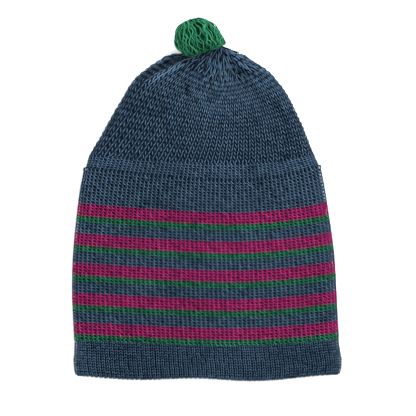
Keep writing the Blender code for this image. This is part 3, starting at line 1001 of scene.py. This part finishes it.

# %% [markdown]
# ## The crown
#
# Six fine rows, the yoke, lead into the crown. From there the knitting is coarser. Each column has an
# upright stem and a slanting leg, which come to the front as beads with dark holes between them. Towards
# the gather the loops are pulled straight and long, and the columns are drawn together, from 74 to 37 and
# at last 18. These strands split and join again and leave a net of slits, sunk in and darkened with
# painted shade. The stems that are pulled straight in the upper crown get a little painted light.

# %% Knit the yoke and the crown
# Here -1 is at the feet and 1 at the head.
STEM_LOOP = np.array([
    (-0.50, -0.68, 0.72),
    (-0.37, -0.58, 0.42),
    (-0.34, 0.00, 0.04),
    (-0.32, 0.54, 0.36),
    (-0.14, 0.72, 0.60),
    (0.04, 0.45, 0.28),
    (0.18, -0.05, 0.06),
    (0.33, -0.55, 0.42),
])
# In the gather the same loop is pulled straight, and its yarn stays near the front all along.
PULLED_LOOP = np.array([
    (-0.50, -0.68, 0.62),
    (-0.37, -0.62, 0.24),
    (-0.34, 0.00, 0.08),
    (-0.32, 0.60, 0.18),
    (-0.14, 0.74, 0.46),
    (0.02, 0.50, 0.18),
    (0.16, -0.05, 0.08),
    (0.33, -0.58, 0.28),
])
# How much higher the rows of the gather get
GATHER_STRETCH = 0.6
# Zones of the crown: from which share of its length, how many columns, the yarn's radius, the loop
CROWN_ZONES = (
    ("crown_knit", 0.00, 2 * STRANDS, 0.345 * MM, STEM_LOOP),
    ("gather_knit", 0.74, STRANDS, 0.42 * MM, PULLED_LOOP),
    ("neck_knit", 0.89, 18, 0.46 * MM, PULLED_LOOP),
)
CROWN_THINNING = 0.15
THINNING_OVER = 0.5
SLIT_SHADE = 0.7
# The light on the stems where they are pulled straight, between which shares of the length that
# is, and over which shares it comes and goes
STRAIGHT_LIGHT = 0.08
STRAIGHT_FROM = 0.42
STRAIGHT_TO = 0.80
STRAIGHT_RISE = 0.15
STRAIGHT_FALL = 0.10


def crown_shade(level, place, centres):
    """The shade in the slits of the gather and in the creases, less the light that the straight
    stems of the upper crown catch."""
    at = level / CROWN_LENGTH
    straight = ease((at - STRAIGHT_FROM) / STRAIGHT_RISE) * ease((STRAIGHT_TO - at) / STRAIGHT_FALL)
    shade = SLIT_SHADE * np.maximum(slits(level, place), 0) + creases(centres)[1]
    return shade - STRAIGHT_LIGHT * straight


yoke_levels = (np.arange(YOKE_ROWS) + 0.5) * BAND_ROW
yoke_knit = lay_courses("yoke_knit", band_course, yoke_levels, BAND_ROW, crown_point, YARN_RADIUS)
crown_levels, crown_rows = [], []
reached = YOKE_LENGTH
while reached + CROWN_ROW < CROWN_LENGTH:
    crown_rows.append(CROWN_ROW * (1 + GATHER_STRETCH * gathering(reached)))
    crown_levels.append(reached + crown_rows[-1] / 2)
    reached += crown_rows[-1]
crown_levels = np.array(crown_levels)
crown_rows = np.array(crown_rows)[:, None]
crown_at = crown_levels / CROWN_LENGTH
crown_knits = [finish_piece(yoke_knit, "slate_blue", "crown")]
zone_ends = [zone[1] for zone in CROWN_ZONES[1:]] + [1.0]
for (name, start, columns, radius, loop), end in zip(CROWN_ZONES, zone_ends):
    part = (crown_at >= start) & (crown_at < end)
    course = make_course(columns, loop)
    levels, rows = crown_levels[part], crown_rows[part]
    radii = radius * (1 - CROWN_THINNING * ease((crown_at[part, None] - start) / THINNING_OVER))
    item = lay_courses(name, course, levels, rows, crown_point, radii, shade=crown_shade)
    crown_knits.append(finish_piece(item, "slate_blue", "crown"))

# %% [markdown]
# ## The fabric behind the stitches
#
# Through the gaps of the outer rows one sees the layer behind them, in deep shade. Two thin sheets
# under the yarn stand for it. The band's sheet turns round the rim and is the face of the lining
# inside, and the crown's is drawn shut at the gather, so that no light shines through the hat. They
# follow the same surface as the yarn, so no simulation is needed.


# %% Build the sheets
DRAWN_SHUT = 0.05


def grid_faces(rings, columns):
    """Four-sided faces that join closed rings of points, each ring to the next one."""
    near = np.arange(rings - 1)[:, None] * columns
    column = np.arange(columns)
    after = (column + 1) % columns
    corners = [near + column, near + after, near + columns + after, near + columns + column]
    return np.stack(corners, axis=-1).reshape(-1, 4)


def cloth_tube(name, levels, depths, point, columns, wales, row, gathered=False):
    """A tube of cloth through the given levels and depths, drawn shut at its end if gathered."""
    place = np.arange(columns) / columns
    points = point(levels[:, None], place[None, :], depths[:, None])
    if gathered:
        middle = points[-1].mean(axis=0)
        last_ring = middle + DRAWN_SHUT * (points[-1:] - middle)
        points = np.concatenate([points, last_ring])
        levels = np.append(levels, levels[-1])
    faces = grid_faces(len(levels), columns)
    item = mesh_object(name, points.reshape(-1, 3), faces)
    grid_u, grid_v = np.meshgrid(np.arange(columns), np.arange(len(levels) - 1))
    u = np.stack([grid_u, grid_u + 1, grid_u + 1, grid_u], -1).reshape(-1, 4) / columns
    v = np.stack([grid_v, grid_v, grid_v + 1, grid_v + 1], -1).reshape(-1, 4)
    add_map(item, "OFBake", u, v / (len(levels) - 1))
    add_map(item, "fabric", u * wales, levels[v] / row)
    print(name, "faces:", len(faces))
    return item


SHEET_COLUMNS = 168
FACE_RINGS = 28
RIM_RINGS = 9
SHEET_DEPTH = 2.25 * MM
# How deep the sheet lies inside, beyond the knitted rows of the lining, and over how far it gets there
INNER_FACE = 0.35 * MM
INNER_FACE_OVER = 6 * MM
band_end = BAND_LENGTH + OUTER_SLACK
outer_levels = np.linspace(band_end, QUARTER_TURN, FACE_RINGS)
rim_levels = np.linspace(QUARTER_TURN, -QUARTER_TURN, RIM_RINGS)[1:-1]
inner_levels = np.linspace(-QUARTER_TURN, -band_end, FACE_RINGS)
sheet_levels = np.concatenate([outer_levels, rim_levels, inner_levels])
past_lining = ease((lining_levels[-1] - HEM_ROW - sheet_levels) / INNER_FACE_OVER)
sheet_depths = SHEET_DEPTH + (INNER_FACE - SHEET_DEPTH) * past_lining
band_fabric = cloth_tube(
    "band_fabric", sheet_levels, sheet_depths, band_point, SHEET_COLUMNS, BAND_WALES, BAND_ROW
)

CROWN_SHEET_DEPTH = 1.3 * MM
CROWN_SHEET_TUCK = 8 * MM
CROWN_SHEET_END = 0.985
CROWN_SHEET_RINGS = 36
crown_sheet_end = CROWN_SHEET_END * CROWN_LENGTH
crown_sheet_levels = np.linspace(-CROWN_SHEET_TUCK, crown_sheet_end, CROWN_SHEET_RINGS)
crown_sheet_depths = np.full(len(crown_sheet_levels), CROWN_SHEET_DEPTH)
crown_fabric = cloth_tube(
    "crown_fabric",
    crown_sheet_levels,
    crown_sheet_depths,
    crown_point,
    SHEET_COLUMNS,
    2 * STRANDS,
    CROWN_ROW,
    gathered=True,
)

# %% [markdown]
# ## The relief of the lining
#
# The sheets need a material of their own. Behind the rows its colour is painted shade, nearly black,
# because that layer lies in the shade of the rows before it. It has the relief of knitting for the view
# into the hat. In the map of the fabric one unit is one stitch, so slanting waves that mirror at each
# column's middle draw the roofs, as a bump and as painted light and shade in the colour. Rows count from
# the rim, and below nought they lie on the inside, where the yarn's own blue returns.

# %% Make the lining material
ROOF_SLOPE = 1.3
ROOF_HEIGHT = 0.5
ROOF_BASE = 0.6
LINING_RELIEF = 0.5 * MM
relief_group, given, result = new_group(
    "knit_relief",
    [("Column", "NodeSocketFloat"), ("Row", "NodeSocketFloat")],
    [("Height", "NodeSocketFloat")],
)
within = maths(relief_group, "SUBTRACT", maths(relief_group, "FRACT", given.outputs["Column"]), 0.5)
mirrored = maths(relief_group, "ABSOLUTE", within)
sloping = maths(relief_group, "MULTIPLY", mirrored, ROOF_SLOPE)
roof = maths(relief_group, "ADD", given.outputs["Row"], sloping)
rows_wave = maths(relief_group, "SINE", maths(relief_group, "MULTIPLY", roof, math.tau))
edge = maths(relief_group, "SINE", maths(relief_group, "MULTIPLY", mirrored, math.tau))
roof_wave = maths(relief_group, "MULTIPLY", rows_wave, ROOF_HEIGHT)
shaped = maths(relief_group, "ADD", roof_wave, ROOF_BASE)
relief_group.links.new(maths(relief_group, "MULTIPLY", shaped, edge), result.inputs["Height"])

# How fast the inner tones come in with the rows below nought
INSIDE_PER_ROW = -0.5
LINING_PATCHES = 60.0
# Painted shade behind the rows, darker and lighter with the relief
PAINTED_SHADE_DARK = (0.001, 0.003, 0.007)
PAINTED_SHADE_LIGHT = (0.010, 0.020, 0.036)
# The inside's own blue, with the relief painted into it as light and shade
INSIDE_DARK = (0.012, 0.026, 0.046)
INSIDE_LIGHT = (0.140, 0.250, 0.400)
lining_and_painted_shade, tree, shader = new_material("lining_and_painted_shade", FAINT_SHEEN)
column_at, row_at = read_map(tree, "fabric")
relief = add_group(tree, relief_group, {"Column": column_at, "Row": row_at})
dye = add_group(tree, dye_group, {"Patch per m": LINING_PATCHES, "Fibre per m": FIBRES_PER_M})
# The relief's height paints light on the roofs and shade between them
tone = maths(tree, "MULTIPLY", relief.outputs["Height"], dye.outputs["Light"])
inside = maths(tree, "MINIMUM", maths(tree, "MULTIPLY", row_at, INSIDE_PER_ROW), 1.0)
inside = maths(tree, "MAXIMUM", inside, 0.0)
behind_rows = mix_colours(tree, tone, PAINTED_SHADE_DARK, PAINTED_SHADE_LIGHT)
towards_head = mix_colours(tree, tone, INSIDE_DARK, INSIDE_LIGHT)
lining_colour = mix_colours(tree, inside, behind_rows, towards_head)
tree.links.new(lining_colour, shader.inputs["Base Color"])
add_bump(tree, shader, relief.outputs["Height"], LINING_RELIEF)
for item, node in ((band_fabric, "band_top"), (crown_fabric, "crown")):
    item.data.materials.append(lining_and_painted_shade)
    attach(item, "root")
    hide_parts(node)
print("material", lining_and_painted_shade.name, "has", len(tree.nodes), "nodes")

# %% [markdown]
# ## The pompom's head
#
# The pompom is a bundle of thin yarn loops sewn to the gather, which has fallen to the left. Its
# head is an egg, drawn out on the right to the root where it is sewn on. First the egg is set out:
# its middle, its root, the slanting edge of the crown that it rests on, and the three directions in
# which the loops run over it.

# %% Set out the pompom's head
pompom_low, pompom_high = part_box("pompom")
HEAD_HALF = np.array([16.2, 14.8, 15.0]) * MM
# How far the head, the root and the start of the seat lie from the corners of the solids' boxes
HEAD_MOVE = np.array([0.3, 0.6, 0.3]) * MM
ROOT_MOVE = np.array([-0.8, 2.4, 6.2]) * MM
SEAT_MOVE = np.array([9.0, 0.4]) * MM
head_centre = HEAD_MOVE + np.array([
    pompom_low.x + HEAD_HALF[0],
    pompom_high.y - HEAD_HALF[1],
    pompom_low.z + HEAD_HALF[2],
])
ROOT = np.array([pompom_high.x, crown_high.y, 0.0]) + ROOT_MOVE
TAIL_TURN = math.radians(24)
SEAT_SLOPE = 0.40
SEAT_SHARE = 0.75
seat_start = np.array([pompom_low.x, pompom_low.y]) + SEAT_MOVE
FAR_EDGE = unit(np.array([-0.30, 0.93, -0.22]))
TO_RIGHT = unit(np.array([0.93, 0.30, 0.0]))
TO_FRONT = np.cross(TO_RIGHT, FAR_EDGE)
SPREAD_RIGHT = 1.25
SPREAD_LEFT = 0.85


def over_head(travel, turn):
    """Directions from the head's centre. travel: 0 at the far edge to 1 at the lower side. turn:
    which way round the head the loop falls, as an angle from the right."""
    tilt = math.pi * travel
    sideways = np.cos(turn)[..., None] * TO_RIGHT + np.sin(turn)[..., None] * TO_FRONT
    heading = np.cos(tilt)[..., None] * FAR_EDGE + np.sin(tilt)[..., None] * sideways
    spread = np.where(np.cos(turn) > 0, SPREAD_RIGHT, SPREAD_LEFT) * np.cos(turn)
    fan = spread * (0.5 - 0.5 * np.cos(tilt)) ** 2
    return unit(heading + fan[..., None] * TO_RIGHT)


def form_head(heading, reach):
    """Points of the head: an egg, drawn out to its root and seated on the slanting crown edge."""
    points = heading * HEAD_HALF * reach[..., None]
    to_root = ROOT - head_centre
    length = np.linalg.norm(points, axis=-1)
    angle = np.arccos(np.clip(unit(points) @ unit(to_root), -1, 1))
    longer = (np.linalg.norm(to_root) / length - 1) * np.exp(-((angle / TAIL_TURN) ** 2))
    points = head_centre + points * (1 + longer[..., None])
    seat = seat_start[1] + SEAT_SLOPE * (points[..., 0] - seat_start[0])
    points[..., 1] += SEAT_SHARE * np.maximum(seat - points[..., 1], 0)
    return points


print("the pompom's head lies at, mm:", np.round(head_centre / MM, 1))

# %% [markdown]
# ## The pompom's loops
#
# The loops spring from the far edge, fall over the head in waves, and end along its lower side. Each
# is swayed from side to side and pushed in and out, so that loops cross and leave dark gaps. Three
# layers of them hide the core, and a few longer ones stand off at the right and at the left.

# %% Lay the pompom's loops
# For each layer: loops, size, ruffle, the middle of their turns and how far they reach from it
LOOP_LAYERS = (
    (76, 1.00, 0.040, 0.0, math.pi),
    (62, 0.93, 0.040, 0.0, math.pi),
    (44, 0.86, 0.030, 0.0, math.pi),
    (3, 1.05, 0.030, 0.0, 0.22),
    (3, 1.05, 0.030, math.pi, 0.22),
)
LOOP_POINTS = 44
LOOP_START = 0.02
INSIDE_POINTS = 3
INSIDE_REACH = 0.55
LOOP_RADIUS = 0.38 * MM
LOOP_SCATTER = 0.7
LOOP_LOT_SPREAD = 0.25
SWAY = 0.065
FINE_SWAY = 0.045
ENDS_REACH = 0.90
MIDDLE_REACH = 0.10
BOB_MIDDLE = 0.6
# From which reach inward a loop gets darker, and over how much
SHADE_FROM = 0.99
SHADE_OVER = 0.20


def waves(travel, fewest, more, chance):
    """A wave along each loop. fewest and more: its number of waves. chance: their lots."""
    return np.sin(math.tau * (fewest + more * chance[0]) * travel + math.tau * chance[1])


def pompom_loops(count, size, ruffle, middle_turn, reach_turn):
    """Closed loops of one layer: over the head outside, and straight back inside it. Gives the
    points and how deep in the head they lie."""
    travel = np.linspace(LOOP_START, 1 - LOOP_START, LOOP_POINTS)[None, :] * np.ones((count, 1))
    chance = CHANCE.random((7, count, 1))
    share = (np.arange(count)[:, None] + LOOP_SCATTER * chance[0]) / count
    turn = middle_turn + reach_turn * (2 * share - 1)
    ends = np.sin(math.pi * travel) ** 0.5
    sway = SWAY * waves(travel, 1.2, 1.3, chance[1:3]) + FINE_SWAY * waves(travel, 4, 2, chance[3:5])
    turn = turn + sway * ends
    bob = waves(travel, 2, 2, chance[5:7])
    reach = size * (ENDS_REACH + MIDDLE_REACH * ends) + ruffle * (bob - BOB_MIDDLE)
    outside = form_head(over_head(travel, turn), reach)
    back = np.linspace(0, 1, INSIDE_POINTS + 2)[1:-1][None, :, None]
    inside = outside[:, -1:] * (1 - back) + outside[:, :1] * back
    inside = head_centre + (inside - head_centre) * INSIDE_REACH
    deep = np.clip((SHADE_FROM - reach) / SHADE_OVER, 0, 1)
    deep = np.concatenate([deep, np.ones((count, INSIDE_POINTS))], axis=1)
    return np.concatenate([outside, inside], axis=1), deep


layers = [pompom_loops(*layer) for layer in LOOP_LAYERS]
loops = np.concatenate([layer[0] for layer in layers])
loops_deep = np.concatenate([layer[1] for layer in layers])
loop_lots = (0.5 + LOOP_LOT_SPREAD * CHANCE.normal(size=(len(loops), 1))) * np.ones_like(loops_deep)
rings = yarn_rings(loops, loops - head_centre, np.full(loops.shape[:2], LOOP_RADIUS))
loop_faces = tube_faces(*loops.shape[:2])
pompom_yarn = mesh_object("pompom_loops", rings.reshape(-1, 3), loop_faces)
map_yarn(pompom_yarn, loops, loops_deep, loop_lots)
finish_piece(pompom_yarn, "pompom_green", "pompom")
print("pompom loops:", len(loops), "triangles:", 2 * len(loop_faces))

# %% [markdown]
# ## The pompom's core
#
# Behind the loops is the bound middle of the pompom, too deep to see clearly. A lumpy egg fills it, so
# that no light shines through the head except at its ragged edge. Its dark green is painted shade, the
# shade that the loops cast on it.

# %% Build the core
CORE_COLUMNS = 48
CORE_RINGS = 24
CORE_SIZE = 0.83
CORE_LUMPS = 0.03
LUMPS_ROUND = 9
LUMPS_DOWN = 5
CORE_PATCHES = 200.0
CORE_FIBRES = 1500.0
CORE_RELIEF = 0.4 * MM
# Painted shade: the core's dark greens stand for the shade inside the loops
CORE_SHADE_DARK = (0.001, 0.012, 0.005)
CORE_SHADE_LIGHT = (0.005, 0.040, 0.018)


def core_mesh():
    """A lumpy egg of rings from one pole nearly to the other. The loops hide the holes at both."""
    tilt = math.pi * (np.arange(CORE_RINGS) + 0.5)[:, None] / CORE_RINGS
    turn = math.tau * np.arange(CORE_COLUMNS)[None, :] / CORE_COLUMNS
    heading = np.stack(
        [np.sin(tilt) * np.cos(turn), np.sin(tilt) * np.sin(turn), np.cos(tilt) + 0 * turn], axis=-1
    )
    lumps = 1 + CORE_LUMPS * np.sin(LUMPS_ROUND * turn + LUMPS_DOWN * tilt) * np.sin(tilt)
    points = form_head(heading, CORE_SIZE * lumps)
    # The rings run downward, so each face goes the other way round to point outward
    return points.reshape(-1, 3), grid_faces(CORE_RINGS, CORE_COLUMNS)[:, [0, 3, 2, 1]]


core_points, core_faces = core_mesh()
pompom_core = mesh_object("pompom_core", core_points, core_faces)
core_painted_shade, tree, shader = new_material("pompom_core_painted_shade", FAINT_SHEEN)
dye = add_group(tree, dye_group, {"Patch per m": CORE_PATCHES, "Fibre per m": CORE_FIBRES})
core_colour = mix_colours(tree, dye.outputs["Light"], CORE_SHADE_DARK, CORE_SHADE_LIGHT)
tree.links.new(core_colour, shader.inputs["Base Color"])
add_bump(tree, shader, dye.outputs["Fibre"], CORE_RELIEF)
pompom_core.data.materials.append(core_painted_shade)
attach(pompom_core, "root")
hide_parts("pompom")
print("faces of the core:", len(core_faces))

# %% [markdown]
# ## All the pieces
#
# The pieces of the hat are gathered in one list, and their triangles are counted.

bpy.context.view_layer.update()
pieces = band_knits + crown_knits + [band_fabric, crown_fabric, pompom_yarn, pompom_core]
print("triangles in all:", sum(2 * len(piece.data.polygons) for piece in pieces))
